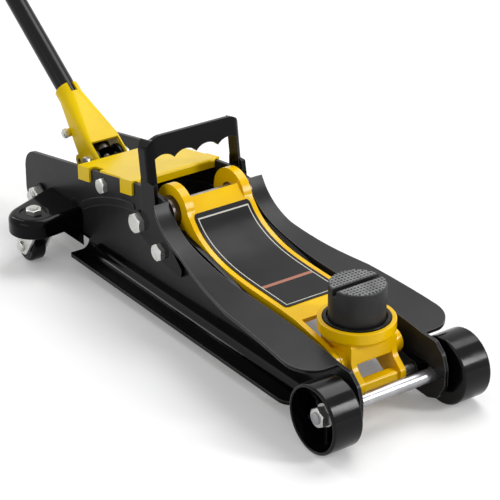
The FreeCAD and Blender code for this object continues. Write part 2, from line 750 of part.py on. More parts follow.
def straight_bar(x0, z0, x1, z1, half, y0, y1):
    # A flat bar with round ends, seen in the side view.
    length = math.hypot(x1 - x0, z1 - z0)
    nx = -(z1 - z0) / length * half
    nz = (x1 - x0) / length * half
    bar = side_prism([
        (x0 + nx, z0 + nz, 0), (x1 + nx, z1 + nz, 0), (x1 - nx, z1 - nz, 0), (x0 - nx, z0 - nz, 0)], y0, y1)
    return bar.fuse([cyl_y(x0, z0, half, y0, y1), cyl_y(x1, z1, half, y0, y1)])


def lever_point(reach):
    # A place on the lever's middle line at rest, that far from the pivot.
    lean = math.radians(LIFT_ANGLE / 2)
    return PIVOT[0] - reach * math.sin(lean), PIVOT[1] - reach * math.cos(lean)


def arm_half():
    # Everything of the arm on the +Y side.
    first_x, first_z = ARM_CURVE[0]
    end_x, end_z = ARM_CURVE[-1]
    side = side_prism([
        (PIVOT[0], PIVOT[1], 0), (first_x, first_z, 0), (first_x, CLEAR_Z, 0), (end_x, CLEAR_Z, 0),
        (end_x, end_z, 0), (-62, 75, 12), (-40, 69, 8), (-34, 60, 0), (TIP[0] + 2, TIP[1] - TIP_R, 0),
        (TIP[0] - 5, TIP[1] - TIP_R + 1, 0), (-110, 48, 30), (-180, 53, 60), (-250, 62, 40),
        (-290, 84, 20), (PIVOT[0] + 8, PIVOT[1] - 26, 0)], ARM_OUT - ARM_SIDE_T, ARM_OUT)
    side = side.cut(above_curve(ARM_CURVE, CLEAR_Z, ARM_OUT - ARM_SIDE_T, ARM_OUT))
    tip = cyl_y(TIP[0], TIP[1], TIP_R, ARM_OUT - ARM_SIDE_T, ARM_OUT)
    ear_in = ARM_OUT - EAR_T
    ear = cyl_y(PIVOT[0], PIVOT[1], EAR_R, ear_in, ARM_OUT)
    slot_half = RAM_PIN_R + SLOT_PLAY
    far = lever_point(LEVER_H / math.cos(math.radians(LIFT_ANGLE / 2)) + SLOT_END_GAP)
    near = lever_point(LEVER_H - SLOT_END_GAP)
    lever = straight_bar(PIVOT[0], PIVOT[1], far[0], far[1], slot_half + LEVER_WALL, ear_in, ARM_OUT)
    half = side.fuse([tip, ear, lever])
    half = half.cut(straight_bar(near[0], near[1], far[0], far[1], slot_half, ear_in - 1, ARM_OUT + 1))
    half = half.cut(cyl_y(PIVOT[0], PIVOT[1], SHAFT_R + FIT + BUSH_WALL, ear_in - 1, ARM_OUT + 1))
    return half.cut(cyl_y(TIP[0], TIP[1], TIP_PIN_R + FIT, ear_in - 1, ARM_OUT + 1))


def lift_arm():
    half = arm_half()
    top = curved_strip(ARM_CURVE, ARM_TOP_T, -ARM_OUT, ARM_OUT)
    top = top.cut(cyl_z(SADDLE_X, 0, CUP_OUT_R + RING_GAP, 0, CLEAR_Z))
    return half.fuse([mirrored(half), top]).removeSplitter()


def arm_label():
    # A bare plate on the arm's top, where a product would carry its print.
    raised = [V(x, 0, z) for x, z in offset_points(ARM_CURVE, -LABEL_T)]
    points = [(p.x, p.z) for p in raised]
    sheet = curved_strip(points, LABEL_T, -LABEL_HALF, LABEL_HALF)
    sheet.translate(V(0, 0, LABEL_GAP))
    return sheet.common(plan_prism([
        (LABEL_X[0], -LABEL_HALF, 4), (LABEL_X[0], LABEL_HALF, 4), (LABEL_X[1], LABEL_HALF, 4),
        (LABEL_X[1], -LABEL_HALF, 4)], 0, CLEAR_Z))


def arm_bush():
    bore = SHAFT_R + FIT
    return washer(V(PIVOT[0], ARM_OUT - EAR_T, PIVOT[1]), V(0, 1, 0), bore + BUSH_WALL, bore, EAR_T)


def pivot_spacer():
    start = ARM_OUT + REST_GAP
    return washer(V(PIVOT[0], start, PIVOT[1]), V(0, 1, 0), SPACER_R, SHAFT_R + FIT, WEB_IN - start)


# Levelling linkage and saddle

def levelling_rod():
    x0, z0 = ROD_LINK
    x1, z1 = ROD_FRONT
    y1 = ROD_IN + ROD_T
    rod = straight_bar(x0, z0, x1, z1, ROD_H / 2, ROD_IN, y1)
    rod = rod.fuse([cyl_y(x0, z0, ROD_EYE_R, ROD_IN, y1), cyl_y(x1, z1, ROD_EYE_R, ROD_IN, y1)])
    rod = rod.cut(cyl_y(x0, z0, ROD_PIN_R + FIT, ROD_IN - 1, y1 + 1))
    return rod.cut(cyl_y(x1, z1, ROD_PIN_R + ROD_PLAY, ROD_IN - 1, y1 + 1))


def rod_stud():
    # Welded to the inside of the side plate.
    return cyl_y(ROD_LINK[0], ROD_LINK[1], ROD_PIN_R, ROD_IN - 1, WEB_IN)


def saddle_bracket():
    bore = STEM_R + FIT
    cup = turned_z([
        (bore, HUB_BASE_Z, 0), (23, HUB_BASE_Z, 2), (30, CUP_BASE_Z - 2, 4), (CUP_OUT_R - 3, CUP_BASE_Z, 2),
        (CUP_OUT_R, CUP_BASE_Z + 4, 3), (CUP_OUT_R, CUP_TOP_Z, 1), (CUP_IN_R, CUP_TOP_Z, 0.6),
        (CUP_IN_R, CUP_FLOOR_Z, 0), (bore, CUP_FLOOR_Z, 0)], SADDLE_X, 0)
    cheek = side_prism([
        (-76, CUP_BASE_Z + 1, 3), (BAR_FACE_X, CUP_BASE_Z + 1, 3), (BAR_FACE_X, 57, 16), (-12, 43, 5),
        (-12, 29, 6), (-30, 27, 8), (-60, 46, 12), (-76, 64, 10)], CHEEK_OUT - CHEEK_T, CHEEK_OUT)
    boss = cyl_y(TIP[0], TIP[1], BOSS_R, CHEEK_OUT - CHEEK_T, ARM_OUT - ARM_SIDE_T - REST_GAP)
    bar = side_prism([
        (BAR_FACE_X - 9, 57, 1), (BAR_FACE_X, 57, 2), (BAR_FACE_X, CUP_BASE_Z - 3, 3),
        (BAR_FACE_X - 4, CUP_BASE_Z + 1, 0), (BAR_FACE_X - 30, CUP_BASE_Z + 1, 0), (BAR_FACE_X - 9, 70, 4)],
        -CHEEK_OUT + 1, CHEEK_OUT - 1)
    dx, dz = ROD_FRONT
    lower = side_prism([
        (dx - 7, dz - 7, 3), (dx - 7, dz + 6, 3), (dx + 6, dz + 6, 3), (dx + 6, dz - 7, 3)],
        -CHEEK_OUT + 1, CHEEK_OUT - 1)
    bracket = cup.fuse([cheek, mirrored(cheek), boss, mirrored(boss), bar, lower])
    bracket = bracket.cut(cyl_y(TIP[0], TIP[1], TIP_PIN_R + FIT, -ARM_OUT, ARM_OUT))
    bracket = bracket.cut(cyl_y(dx, dz, ROD_PIN_R + FIT, -ARM_OUT, ARM_OUT))
    bracket = bracket.cut(cyl_z(SADDLE_X, 0, bore, 0, CUP_FLOOR_Z))
    return bracket.removeSplitter()


def saddle():
    seat = CUP_FLOOR_Z + 0.1
    return turned_z([
        (0, seat - STEM_LEN, 0), (STEM_R, seat - STEM_LEN, 1), (STEM_R, seat, 0), (CUP_IN_R - 0.6, seat, 0),
        (CUP_IN_R - 0.6, seat + SADDLE_T, 1.2), (PAD_R + 1.5, seat + SADDLE_T, 0.5),
        (PAD_R, seat + SADDLE_T - 3, 0), (0, seat + SADDLE_T - 3, 0)], SADDLE_X, 0)


def rubber_pad():
    base = CUP_FLOOR_Z + 0.1 + SADDLE_T - 3
    top = base + PAD_H
    pad = turned_z([
        (0, base, 0), (PAD_R - 0.3, base, 0), (PAD_R - 0.3, base + 3, 0), (PAD_R, top, 1.5), (0, top, 0)],
        SADDLE_X, 0)
    half = PAD_SLOT_W / 2
    groove = box(SADDLE_X - half, SADDLE_X + half, -PAD_R - 1, PAD_R + 1, top - PAD_SLOT_D, top + 1)
    return pad.cut(groove)


# Hydraulic unit

def power_unit_block():
    rear = BLOCK_REAR_X
    front = RESERVOIR_X[0]
    x, z = SOCKET
    back = x + BLOCK_BACK
    block = side_prism([
        (rear, BLOCK_BASE_Z, 5), (rear, PUMP_TOP_Z, 5), (back, PUMP_TOP_Z, 6), (back, BLOCK_TOP_Z, 4),
        (front, BLOCK_TOP_Z, 0), (front, BLOCK_BASE_Z, 0)], -BLOCK_HALF, BLOCK_HALF)
    room = cyl_y(x, z, CHEEK_SWING_R, EAR_OUT, BLOCK_HALF + 1)
    block = block.cut([room, mirrored(room)])
    ear = side_prism([
        (x - EAR_PIVOT_R, z, 0), (x - EAR_PIVOT_R, PUMP_TOP_Z - 2, 0), (back + 4, PUMP_TOP_Z - 2, 0),
        (x + EAR_PIVOT_R, z, 0)], EAR_OUT - 4, EAR_OUT)
    ear = ear.fuse(cyl_y(x, z, EAR_PIVOT_R, EAR_OUT - 4, EAR_OUT))
    neck = box(back, front, -SPINDLE_BOSS_R, SPINDLE_BOSS_R, BLOCK_TOP_Z - 8, z)
    boss = cyl_x(0, z, SPINDLE_BOSS_R, back, front)
    trunnion = cyl_y(TRUNNION[0], TRUNNION[1], TRUNNION_R, BLOCK_HALF - 1, WEB_OUT)
    block = block.fuse([ear, mirrored(ear), neck, boss, trunnion, mirrored(trunnion)])
    block = block.cut(cyl_x(0, z, SPINDLE_R + FIT, back - 1, front - 4))
    block = block.cut(cyl_y(x, z, SOCKET_BOLT_R + FIT, -EAR_OUT - 1, EAR_OUT + 1))
    block = block.cut(cyl_z(ROLLER[0], 0, PLUNGER_R + FIT, BLOCK_BASE_Z + 6, PUMP_TOP_Z + 1))
    return block.removeSplitter()


def reservoir_tube():
    x0, x1 = RESERVOIR_X
    tube = cyl_x(0, UNIT_Z, RESERVOIR_R, x0, x1)
    tube = tube.cut(cyl_x(0, UNIT_Z, RESERVOIR_R - RESERVOIR_T, x0, x1))
    return tube.cut(cyl_z(FILLER_X, 0, FILLER_R + FIT, UNIT_Z, UNIT_Z + RESERVOIR_R + 1))


def filler_plug():
    top = UNIT_Z + RESERVOIR_R
    plug = cyl_z(FILLER_X, 0, FILLER_R, top - RESERVOIR_T - 1, top)
    return plug.fuse(turned_z([
        (0, top, 0), (FILLER_R + 2, top, 0), (FILLER_R + 1.5, top + 3, 1), (0, top + 3, 0)], FILLER_X, 0))


def cylinder_tube():
    x0, x1 = RESERVOIR_X
    tube = cyl_x(0, UNIT_Z, CYLINDER_R, x0, x1)
    return tube.cut(cyl_x(0, UNIT_Z, RAM_R + FIT, x0 + 4, x1))


def head_nut():
    x = RESERVOIR_X[1]
    ring = cyl_x(0, UNIT_Z, HEAD_NUT_R, x, x + HEAD_NUT_T)
    ring = ring.fuse(cyl_x(0, UNIT_Z, RESERVOIR_R, x, x + 3))
    return ring.cut(cyl_x(0, UNIT_Z, RAM_R + FIT, x, x + HEAD_NUT_T))


def ram():
    return cyl_x(0, UNIT_Z, RAM_R, RESERVOIR_X[0] + 6, RAM_PIN_X - 14)


def ram_head():
    half = ARM_OUT - EAR_T - SIDE_GAP
    body = side_prism([
        (RAM_PIN_X - 14, UNIT_Z - RAM_R, 3), (RAM_PIN_X - 14, UNIT_Z + RAM_R, 3),
        (RAM_PIN_X + 12, UNIT_Z + RAM_R, 11), (RAM_PIN_X + 12, UNIT_Z - RAM_R, 11)], -half, half)
    return body.cut(cyl_y(RAM_PIN_X, UNIT_Z, RAM_PIN_R + FIT, -half - 1, half + 1))


def ram_cross_pin():
    return cyl_y(RAM_PIN_X, UNIT_Z, RAM_PIN_R, -PIN_END, PIN_END)


def spring_stud():
    return cyl_y(SPRING_X, UNIT_Z, SPRING_STUD_R, SPRING_Y - SPRING_COIL_R - 1, WEB_IN)


def return_spring():
    start = SPRING_X + SPRING_STUD_R + REST_GAP
    length = RAM_PIN_X - RAM_PIN_R - REST_GAP - start
    outer = SPRING_COIL_R + SPRING_WIRE_R
    return washer(V(start, SPRING_Y, UNIT_Z), V(1, 0, 0), outer, SPRING_COIL_R - SPRING_WIRE_R, length)


# Pump

def pump_plunger():
    x = ROLLER[0]
    top = ROLLER[1] - ROLLER_R - REST_GAP
    return turned_z([
        (0, BLOCK_BASE_Z + 7, 0), (PLUNGER_R, BLOCK_BASE_Z + 7, 1), (PLUNGER_R, top - CAP_T, 0),
        (CAP_R, top - CAP_T, 0.6), (CAP_R, top, 1.5), (0, top, 0)], x, 0)


def pump_spring():
    start = PUMP_TOP_Z + 0.1
    length = ROLLER[1] - ROLLER_R - REST_GAP - CAP_T - 0.1 - start
    return ribbed_coil(V(ROLLER[0], 0, start), V(0, 0, 1), CAP_R - 2.4, 1.2, 7, length)


def pump_roller():
    half = ROLLER_HALF
    roller = cyl_y(ROLLER[0], ROLLER[1], ROLLER_R, -half, half)
    reach = CHEEK_HALF
    return roller.fuse(cyl_y(ROLLER[0], ROLLER[1], ROLLER_PIN_R, -reach, reach))


# Handle and its socket. They are drawn along -X from the socket's pivot, and tilted at the end.

def tilt(shape):
    turn = FreeCAD.Rotation(V(0, 1, 0), HANDLE_ANGLE)
    shape.Placement = FreeCAD.Placement(V(SOCKET[0], 0, SOCKET[1]), turn)
    return shape


def turned_s(profile):
    # Turned about the handle's axis; profile points are (distance along the handle, radius, corner).
    wire = rounded_wire(profile, lambda s, r: V(-s, 0, r))
    return Part.Face(wire).revolve(V(0, 0, 0), V(1, 0, 0), 360)


def channel_section(s, half_y, half_n, corner):
    points = [(-half_y, -half_n, corner), (-half_y, half_n, corner), (half_y, half_n, corner),
              (half_y, -half_n, corner)]
    return rounded_wire(points, lambda u, v: V(-s, u, v))


def channel_loft(half_y, half_n, end_half, inset):
    start = channel_section(CHANNEL_S[0], half_y - inset, half_n - inset, CHANNEL_CORNER - inset * 0.8)
    end = channel_section(CHANNEL_S[1], end_half - inset, end_half - inset, end_half - inset - 0.05)
    return Part.makeLoft([start, end], True, True)


def handle_socket():
    half_n = SOCKET_HALF_N
    t = SOCKET_T
    front = channel_section(-SOCKET_NOSE, CHEEK_HALF, half_n, CHANNEL_CORNER)
    length = CHANNEL_S[0] + SOCKET_NOSE
    body = Part.Face(front).extrude(V(-length, 0, 0))
    inner_front = channel_section(-SOCKET_NOSE, CHEEK_HALF - t, half_n - t, CHANNEL_CORNER - t * 0.8)
    hollow = Part.Face(inner_front).extrude(V(-length, 0, 0))
    body = body.fuse([channel_loft(CHEEK_HALF, half_n, COLLAR_R, 0), turned_s([
        (CHANNEL_S[1], 0, 0), (CHANNEL_S[1], COLLAR_R, 0), (COLLAR_END, COLLAR_R, 0.8), (COLLAR_END, 0, 0)])])
    hollow = hollow.fuse([channel_loft(CHEEK_HALF, half_n, COLLAR_R, t - 0.3), turned_s([
        (CHANNEL_S[1] - 12, 0, 0), (CHANNEL_S[1] - 12, TUBE_R + FIT, 0), (COLLAR_END + 1, TUBE_R + FIT, 0),
        (COLLAR_END + 1, 0, 0)])])
    lobe = cyl(V(-ROLLER_LOCAL[0], CHEEK_HALF - t, ROLLER_LOCAL[1]), ROLLER_LOBE_R, V(0, 1, 0), t)
    boss = cyl(V(-RETAINER[0], COLLAR_R, RETAINER[1]), RETAINER_AF / 2, V(0, 1, 0), CHEEK_HALF - COLLAR_R)
    body = body.fuse([lobe, mirrored(lobe), boss, mirrored(boss)]).cut(hollow)
    inside = EAR_OUT + SIDE_GAP
    window = box(-WINDOW_S, SOCKET_NOSE + 1, -inside, inside, 0, half_n + 1)
    under = box(-UNDER_S, SOCKET_NOSE + 1, -inside, inside, -half_n - 1, 0)
    lip = box(-COLLAR_END - 1, -COLLAR_END + 13, -4, 4, 0, COLLAR_R + 1)
    body = body.cut([window, under, lip])
    bores = cyl(V(0, -CHEEK_HALF - 1, 0), SOCKET_BOLT_R + FIT, V(0, 1, 0), 2 * CHEEK_HALF + 2)
    for s, n in (RETAINER, ROLLER_LOCAL):
        bores = bores.fuse(cyl(V(-s, -CHEEK_HALF - 1, n), ROLLER_PIN_R + FIT, V(0, 1, 0), 2 * CHEEK_HALF + 2))
    return tilt(body.cut(bores).removeSplitter())


def socket_pivot_bolts():
    bolt = cyl(V(0, EAR_OUT - 4, 0), SOCKET_BOLT_R, V(0, 1, 0), CHEEK_HALF - EAR_OUT + 4)
    bolt = bolt.fuse(hexagon(V(0, CHEEK_HALF, 0), V(0, 1, 0), SOCKET_BOLT_AF, 6))
    return tilt(both_sides(bolt))


def handle_retainer():
    # A cross bolt with its nut. It runs in the groove of the handle's plug, so it keeps the handle in,
    # free to twist.
    s, n = RETAINER
    bolt = cyl(V(-s, -CHEEK_HALF - 6, n), ROLLER_PIN_R, V(0, 1, 0), 2 * CHEEK_HALF + 6)
    bolt = bolt.fuse(hexagon(V(-s, CHEEK_HALF, n), V(0, 1, 0), RETAINER_AF, 4))
    lock = nut(V(-s, -CHEEK_HALF, n), V(0, -1, 0), RETAINER_AF, 5, ROLLER_PIN_R + FIT)
    return tilt(Part.makeCompound([bolt, lock]))


def handle_plug():
    # Fits the end of the handle; its shallow cup turns round the ball of the release spindle.
    groove_r = -RETAINER[1] - ROLLER_PIN_R - FIT
    s = RETAINER[0]
    w = ROLLER_PIN_R + 0.5
    plug = turned_s([
        (8, 0, 0), (8, TUBE_R, 0.5), (s - w, TUBE_R, 0), (s - w, groove_r, 0), (s + w, groove_r, 0),
        (s + w, TUBE_R, 0), (TUBE_START, TUBE_R, 0), (TUBE_START, TUBE_R - TUBE_T, 0),
        (TUBE_START + 30, TUBE_R - TUBE_T, 1), (TUBE_START + 30, 0, 0)])
    return tilt(plug)


def tube(start, end):
    return turned_s([
        (start, TUBE_R - TUBE_T, 0), (start, TUBE_R, 0), (end, TUBE_R, 0), (end, TUBE_R - TUBE_T, 0)])


def handle_lower_tube():
    hole = cyl(V(-BUTTON_S, 0, 0), BUTTON_R + FIT, V(0, 0, 1), TUBE_R + 1)
    return tilt(tube(TUBE_START, LOWER_TUBE_END).cut(hole))


def handle_upper_tube():
    spigot = turned_s([
        (LOWER_TUBE_END - SPIGOT, 7, 0), (LOWER_TUBE_END - SPIGOT, TUBE_R - TUBE_T, 1),
        (LOWER_TUBE_END + 10, TUBE_R - TUBE_T, 0), (LOWER_TUBE_END + 10, 7, 0)])
    hole = cyl(V(-BUTTON_S, 0, 0), BUTTON_R + FIT, V(0, 0, 1), TUBE_R + 1)
    return tilt(tube(LOWER_TUBE_END, HANDLE_END - GRIP_CAP_T).fuse(spigot).cut(hole).removeSplitter())


def handle_button():
    button = cyl(V(-BUTTON_S, 0, 7.5), BUTTON_R, V(0, 0, 1), TUBE_R + 2 - 7.5)
    return tilt(button)


def handle_grip():
    start = HANDLE_END - GRIP_LEN
    outline = [(start, TUBE_R, 0), (start, GRIP_R + 2, 1.5), (start + 6, GRIP_R + 2, 1.5)]
    pitch = (GRIP_LEN - 26) / GRIP_RINGS
    for i in range(GRIP_RINGS):
        s = start + 8 + pitch * i
        outline += [(s, GRIP_R - 1.2, 0.4), (s + 2, GRIP_R - 1.2, 0.4), (s + 3, GRIP_R, 0.4)]
        if i < GRIP_RINGS - 1:
            outline.append((s + pitch - 1, GRIP_R, 0.4))
    tube_end = HANDLE_END - GRIP_CAP_T
    outline += [(HANDLE_END, GRIP_R, GRIP_END_R), (HANDLE_END, 0, 0), (tube_end, 0, 0), (tube_end, TUBE_R, 0)]
    return tilt(turned_s(outline))


def release_spindle():
    x, z = SOCKET
    shaft = cyl_x(0, z, SPINDLE_R, x, RESERVOIR_X[0] - 6)
    return shaft.fuse(Part.makeSphere(BALL_R, V(x, 0, z)))


def build_nodes():
    nodes = {
        "side_plate_left": side_plate(),
        "side_plate_right": mirrored(side_plate()),
        "front_axle": front_axle(),
        "axle_spacers": both_sides(axle_spacer()),
        "axle_washers": both_sides(axle_washer()),
        "axle_nuts": both_sides(axle_nut()),
        "front_wheel_left": front_wheel(),
        "front_wheel_right": mirrored(front_wheel()),
        "carry_handle": carry_handle(),
        "carry_handle_bolts": foot_bolts(),
        "top_cover": top_cover(),
        "rear_tie_rod": tied_rod(TIE[0], TIE[1], TIE_R, TIE_STUD_R, TIE_END),
        "tie_rod_washers": both_sides(rod_washer(TIE[0], TIE[1], 12.5, TIE_STUD_R, 3)),
        "tie_rod_nuts": both_sides(rod_nut(TIE[0], TIE[1], TIE_NUT_AF, 10, TIE_STUD_R, WEB_OUT + 3)),
        "cross_rod": cross_rod(),
        "caster_bracket_left": caster_bracket(),
        "caster_bracket_right": mirrored(caster_bracket()),
        "caster_studs": both_sides(caster_stud()),
        "caster_nuts": both_sides(caster_nut()),
        "caster_fork_left": caster_fork(),
        "caster_fork_right": mirrored(caster_fork()),
        "caster_axle_left": caster_axle(),
        "caster_axle_right": mirrored(caster_axle()),
        "caster_wheel_left": caster_wheel(),
        "caster_wheel_right": mirrored(caster_wheel()),
        "lift_arm": lift_arm(),
        "arm_label": arm_label(),
        "arm_bushes": both_sides(arm_bush()),
        "arm_pivot_shaft": cyl_y(PIVOT[0], PIVOT[1], SHAFT_R, -WEB_OUT, WEB_OUT),
        "arm_pivot_spacers": both_sides(pivot_spacer()),
        "levelling_rod_left": levelling_rod(),
        "levelling_rod_right": mirrored(levelling_rod()),
        "levelling_rod_studs": both_sides(rod_stud()),
        "saddle_bracket": saddle_bracket(),
        "saddle_pivot_pin": cyl_y(TIP[0], TIP[1], TIP_PIN_R, -ARM_OUT, ARM_OUT),
        "levelling_pin": cyl_y(ROD_FRONT[0], ROD_FRONT[1], ROD_PIN_R, -PIN_END, PIN_END),
        "saddle": saddle(),
        "rubber_pad": rubber_pad(),
        "power_unit_block": power_unit_block(),
        "reservoir_tube": reservoir_tube(),
        "filler_plug": filler_plug(),
        "cylinder_tube": cylinder_tube(),
        "head_nut": head_nut(),
        "ram": ram(),
        "ram_head": ram_head(),
        "ram_cross_pin": ram_cross_pin(),
        "return_spring_studs": both_sides(spring_stud()),
        "return_springs": both_sides(return_spring()),
        "pump_plunger": pump_plunger(),
        "pump_spring": pump_spring(),
        "pump_roller": pump_roller(),
        "handle_socket": handle_socket(),
        "socket_pivot_bolts": socket_pivot_bolts(),
        "handle_retainer": handle_retainer(),
        "handle_plug": handle_plug(),
        "handle_lower_tube": handle_lower_tube(),
        "handle_upper_tube": handle_upper_tube(),
        "handle_button": handle_button(),
        "handle_grip": handle_grip(),
        "release_spindle": release_spindle(),
    }
    return nodes


os.makedirs("parts", exist_ok=True)
for name, shape in build_nodes().items():
    moved = shape.copy()
    moved.translate(V(DATUM_X, 0, 0))
    moved.exportStep("parts/" + name + ".step")
    print(name, len(moved.Solids), moved.isValid(), round(moved.Volume))
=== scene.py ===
# Looks of the floor jack: finishes, softened edges, springs, tread, label print, studio and camera.
import bpy
import bmesh
import json
import math
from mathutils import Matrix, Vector

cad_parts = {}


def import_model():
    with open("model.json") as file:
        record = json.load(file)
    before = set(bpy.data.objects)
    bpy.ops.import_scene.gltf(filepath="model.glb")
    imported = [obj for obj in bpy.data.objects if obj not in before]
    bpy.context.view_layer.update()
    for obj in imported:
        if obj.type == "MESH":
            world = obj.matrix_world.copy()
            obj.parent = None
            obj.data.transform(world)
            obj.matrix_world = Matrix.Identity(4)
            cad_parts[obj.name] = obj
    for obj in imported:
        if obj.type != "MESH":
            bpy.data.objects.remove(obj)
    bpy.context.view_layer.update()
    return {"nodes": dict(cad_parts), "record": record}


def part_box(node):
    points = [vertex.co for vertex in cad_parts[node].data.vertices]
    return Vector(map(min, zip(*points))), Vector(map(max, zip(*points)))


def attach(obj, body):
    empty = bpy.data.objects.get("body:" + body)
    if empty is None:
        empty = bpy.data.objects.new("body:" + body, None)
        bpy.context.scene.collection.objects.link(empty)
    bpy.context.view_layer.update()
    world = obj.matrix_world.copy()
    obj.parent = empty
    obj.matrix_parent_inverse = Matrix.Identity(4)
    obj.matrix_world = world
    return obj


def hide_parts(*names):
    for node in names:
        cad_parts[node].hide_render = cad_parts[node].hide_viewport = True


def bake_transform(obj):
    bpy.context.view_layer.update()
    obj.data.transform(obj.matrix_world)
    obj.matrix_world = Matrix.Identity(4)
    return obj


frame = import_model()
NODES = frame["nodes"]
BODY = {node: body for body, members in frame["record"]["behaviour"]["bodies"].items() for node in members}
SLOT = {row["node"]: row["material_slot"] for row in frame["record"]["subparts"]}

# The photograph's camera: places in metres, lens and sensor in millimetres
EYE = Vector((1.9254, -1.0586, 0.9895))
TARGET = Vector((0.4522, 0.0, 0.0929))
LENS = 139.0
SENSOR = 36.0
VIEW_END = 50

# The drawing's datum in the row frame, and places that the CAD part names
DATUM_X = 0.6878055
PAD_X = DATUM_X - 0.056
PAD_TOP_Z = 0.1296
PAD_R = 0.029
PAD_SLOT_HALF = 0.0035
LABEL_X = (DATUM_X - 0.288, DATUM_X - 0.124)
LABEL_HALF = 0.036

# The label's border line and stripe
LABEL_INSET = 0.0035
LABEL_LINE = 0.0011
STRIPE_X = DATUM_X - 0.170
STRIPE_HALF = 0.0024

# Top of the rail's deeper black, a painted dark reflection, where X is 0, its rise along X, and the height
# over which it changes
RAIL_DARK_REFLECTION_Z = 0.024
RAIL_DARK_REFLECTION_RISE = 0.03
RAIL_DARK_REFLECTION_BLEND = 0.003

# The pad's tread: BASE and TOP are half the width of a ridge at its foot and its crest
TREAD_PITCH = 0.0042
TREAD_BASE = 0.0009
TREAD_TOP = 0.0005
TREAD_H = 0.0008
CROSS_TREAD_H = TREAD_H * 0.9
TREAD_SINK = 0.0002
TREAD_MARGIN = 0.0014

THREAD_PITCH = 0.0015
THREAD_DEPTH = 0.0004

# The painted highlight along rounded edges: its reach, its strength, and the cosines of the turn between
# which it fades
EDGE_HIGHLIGHT_REACH = 0.0011
EDGE_HIGHLIGHT_AMOUNT = 0.75
EDGE_HIGHLIGHT_TURN = (0.93, 0.995)

# Softened edges: points within WELD and edges within SLIVER are merged, faces that meet at less than
# FLAT_ANGLE are joined, and edges over EDGE_ANGLE are rolled
WELD = 0.000004
SLIVER = 0.000002
FLAT_ANGLE = math.radians(0.4)
EDGE_ANGLE = math.radians(32.0)
EDGE_SEGMENTS = 2
SHADE_WEIGHT = 50

# Springs: CLOSED_SHARE is the share of the turns that lies flat at each end
RETURN_COIL_R = 0.0024
RETURN_WIRE_R = 0.0008
RETURN_TURNS = 30
PUMP_COIL_R = 0.0096
PUMP_WIRE_R = 0.0011
PUMP_TURNS = 6
STEPS_PER_TURN = 20
WIRE_SIDES = 8
CLOSED_SHARE = 0.06

# Studio: the floor's own glow grows between GLOW_FROM and GLOW_TO metres from the origin
WORLD_LIGHT = 0.4
FLOOR_REACH = 9.0
FLOOR_Z = -0.0004
FLOOR_GREY = 0.8
GLOW_FROM = 0.9
GLOW_TO = 3.0
GLOW_NEAR = 0.17
GLOW_FAR = 0.68
# Each lamp's place, its width and height, and its power
LAMPS = {
    "key": ((0.1, 1.1, 2.3), (1.8, 1.2), 36),
    "fill": ((0.6, -2.2, 1.3), (1.8, 1.0), 10),
    "front": ((2.25, 1.3, 1.25), (0.4, 0.9), 26),
    "back": ((-1.35, -0.4, 1.5), (0.25, 1.6), 9)}


def linear(code):
    # A colour written as RRGGBB, in the linear values that a shader takes.
    values = [int(code[i:i + 2], 16) / 255 for i in (0, 2, 4)]
    return [v / 12.92 if v <= 0.04045 else ((v + 0.055) / 1.055) ** 2.4 for v in values] + [1.0]


# Materials

